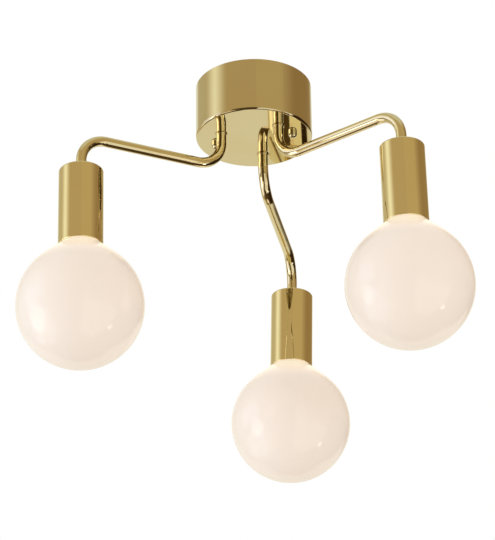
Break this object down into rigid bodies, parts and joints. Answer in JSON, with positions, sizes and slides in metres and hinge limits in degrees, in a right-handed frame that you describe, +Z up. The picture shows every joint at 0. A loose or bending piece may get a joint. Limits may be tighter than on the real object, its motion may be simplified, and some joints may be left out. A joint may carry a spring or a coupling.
{
  "type": "semi flush ceiling light",
  "caption": "Semi flush ceiling light: round canopy, swivelling bent-tube arms with cylindrical cups, and screw-in opal globe lamps.",
  "frame": {"origin": "centre of the ceiling plane, midway between the two ceiling screws", "axes": "+Z up into the ceiling; the two dome nuts lie along X; the back arm's stem is on +Y"},
  "size_m": [0.4399, 0.4504, 0.3587],
  "materials": {
    "polished_brass": "polished and lacquered",
    "contact_brass": "plain",
    "zinc_steel": "zinc plated",
    "nickel_plate": "nickel plated",
    "tinned_tip": "tinned",
    "white_plastic": "moulded, satin",
    "clear_plastic": "natural polyamide",
    "cable_sheath": "smooth sheath",
    "black_rubber": "moulded",
    "porcelain": "unglazed",
    "opal_glass": "polished opal",
    "black_glass": "fused glass"
  },
  "bodies": {
    "ceiling_fixture": {"canopy": "polished_brass", "ceiling_bracket": "zinc_steel", "bracket_studs": "zinc_steel", "stud_nuts": "zinc_steel", "dome_nuts": "polished_brass", "supply_grommet": "black_rubber", "earth_screw": "zinc_steel", "terminal_cover": "white_plastic", "terminal_block": "clear_plastic", "terminal_screws": "zinc_steel", "arm_washers": "zinc_steel", "canopy_leads": "cable_sheath"},
    "left_arm": {"left_tube": "polished_brass", "left_collar": "polished_brass", "left_nut": "zinc_steel", "left_bush": "white_plastic", "left_cable": "cable_sheath", "left_cup": "polished_brass", "left_cup_nut": "zinc_steel", "left_holder_cap": "white_plastic", "left_holder_shell": "white_plastic", "left_holder_core": "porcelain", "left_screw_sleeve": "nickel_plate", "left_centre_contact": "contact_brass"},
    "left_lamp_tip": {"left_lamp_contact": "tinned_tip", "left_lamp_insulator": "black_glass"},
    "left_lamp": {"left_lamp_globe": "opal_glass", "left_lamp_cap": "nickel_plate"},
    "right_arm": {"right_tube": "polished_brass", "right_collar": "polished_brass", "right_nut": "zinc_steel", "right_bush": "white_plastic", "right_cable": "cable_sheath", "right_cup": "polished_brass", "right_cup_nut": "zinc_steel", "right_holder_cap": "white_plastic", "right_holder_shell": "white_plastic", "right_holder_core": "porcelain", "right_screw_sleeve": "nickel_plate", "right_centre_contact": "contact_brass"},
    "right_lamp_tip": {"right_lamp_contact": "tinned_tip", "right_lamp_insulator": "black_glass"},
    "right_lamp": {"right_lamp_globe": "opal_glass", "right_lamp_cap": "nickel_plate"},
    "back_arm": {"back_tube": "polished_brass", "back_collar": "polished_brass", "back_nut": "zinc_steel", "back_bush": "white_plastic", "back_cable": "cable_sheath", "back_cup": "polished_brass", "back_cup_nut": "zinc_steel", "back_holder_cap": "white_plastic", "back_holder_shell": "white_plastic", "back_holder_core": "porcelain", "back_screw_sleeve": "nickel_plate", "back_centre_contact": "contact_brass"},
    "back_lamp_tip": {"back_lamp_contact": "tinned_tip", "back_lamp_insulator": "black_glass"},
    "back_lamp": {"back_lamp_globe": "opal_glass", "back_lamp_cap": "nickel_plate"}
  },
  "joints": [
    {"name": "left_arm_swivel", "type": "hinge", "parent": "ceiling_fixture", "child": "left_arm", "pos_m": [-0.03031, -0.0175, -0.059], "axis": [0, 0, 1], "range_deg": [-59.3, 30.7]},
    {"name": "left_lamp_travel", "type": "slide", "parent": "left_arm", "child": "left_lamp_tip", "axis": [0.0177, -0.0181, -0.9997], "range_m": [0, 0.0109]},
    {"name": "left_lamp_turn", "type": "hinge", "parent": "left_lamp_tip", "child": "left_lamp", "pos_m": [-0.14073, -0.132, -0.29624], "axis": [0.0177, -0.0181, -0.9997], "range_deg": [0, 1080]},
    {"name": "right_arm_swivel", "type": "hinge", "parent": "ceiling_fixture", "child": "right_arm", "pos_m": [0.03031, -0.0175, -0.059], "axis": [0, 0, 1], "range_deg": [-48, 42]},
    {"name": "right_lamp_travel", "type": "slide", "parent": "right_arm", "child": "right_lamp_tip", "axis": [0.0115, 0.0225, -0.9997], "range_m": [0, 0.0109]},
    {"name": "right_lamp_turn", "type": "hinge", "parent": "right_lamp_tip", "child": "right_lamp", "pos_m": [0.17417, -0.08538, -0.29624], "axis": [0.0115, 0.0225, -0.9997], "range_deg": [0, 1080]},
    {"name": "back_arm_swivel", "type": "hinge", "parent": "ceiling_fixture", "child": "back_arm", "pos_m": [0, 0.035, -0.059], "axis": [0, 0, 1], "range_deg": [-48.6, 41.4]},
    {"name": "back_lamp_travel", "type": "slide", "parent": "back_arm", "child": "back_lamp_tip", "axis": [-0.0253, -0.0016, -0.9997], "range_m": [0, 0.0109]},
    {"name": "back_lamp_turn", "type": "hinge", "parent": "back_lamp_tip", "child": "back_lamp", "pos_m": [-0.0148, 0.19338, -0.29624], "axis": [-0.0253, -0.0016, -0.9997], "range_deg": [0, 1080]}
  ],
  "couplings": [
    {"joint": "left_lamp_travel", "follows": "left_lamp_turn", "m_per_rad": 0.00057773},
    {"joint": "right_lamp_travel", "follows": "right_lamp_turn", "m_per_rad": 0.00057773},
    {"joint": "back_lamp_travel", "follows": "back_lamp_turn", "m_per_rad": 0.00057773}
  ]
}
